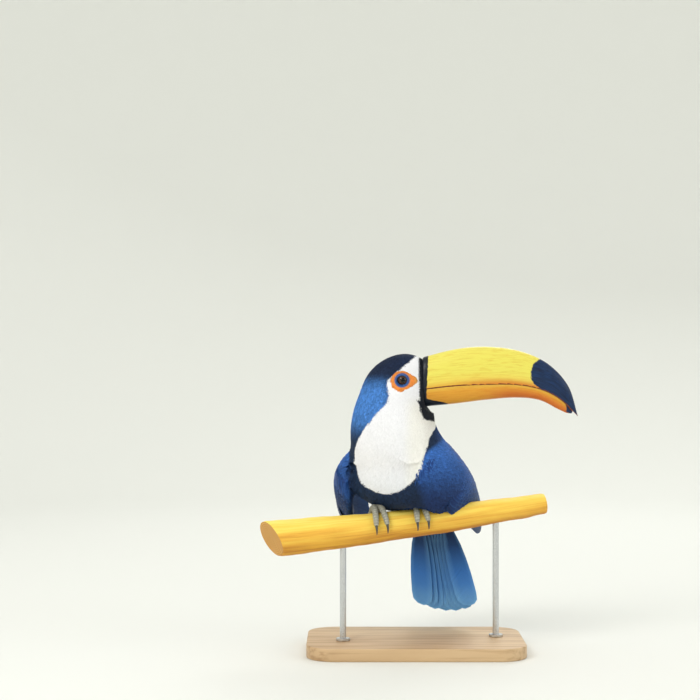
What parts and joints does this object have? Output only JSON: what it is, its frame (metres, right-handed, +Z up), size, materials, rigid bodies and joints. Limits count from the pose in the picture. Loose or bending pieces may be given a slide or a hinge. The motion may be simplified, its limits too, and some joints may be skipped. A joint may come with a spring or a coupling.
{
  "type": "toco toucan model",
  "caption": "Life-size still model of a toco toucan, perched on a cut branch that a flat wooden base and steel rods hold.",
  "frame": {"origin": "the middle of the underside of the stand's base", "axes": "+Z is up, +X is the way that the bill points and the bird's left side faces, and -Y is the front, the way that the chest faces"},
  "size_m": [0.4021, 0.2193, 0.3882],
  "materials": {
    "feathers_white": "soft matt contour feathers",
    "feathers_dark": "glossy blue-black feathers",
    "bill_upper": "semi-gloss horn, yellow to orange, dark oval spot at the tip",
    "bill_lower": "semi-gloss horn, orange to red-orange",
    "eye": "wet gloss, dark brown iris",
    "leg": "grey-blue scales with dark claws",
    "perch": "peeled golden branch, dry and satin",
    "stand_wood": "satin varnish on pale wood",
    "stand_steel": "satin steel"
  },
  "bodies": {
    "root": {"head": "feathers_white", "neck": "feathers_white", "trunk": "feathers_dark", "tail": "feathers_dark", "wing_left": "feathers_dark", "wing_right": "feathers_dark", "bill_upper": "bill_upper", "bill_lower": "bill_lower", "eye_left": "eye", "eye_right": "eye", "leg_left": "leg", "leg_right": "leg", "perch_branch": "perch", "stand_base": "stand_wood", "stand_rod_left": "stand_steel", "stand_rod_right": "stand_steel"}
  },
  "joints": []
}
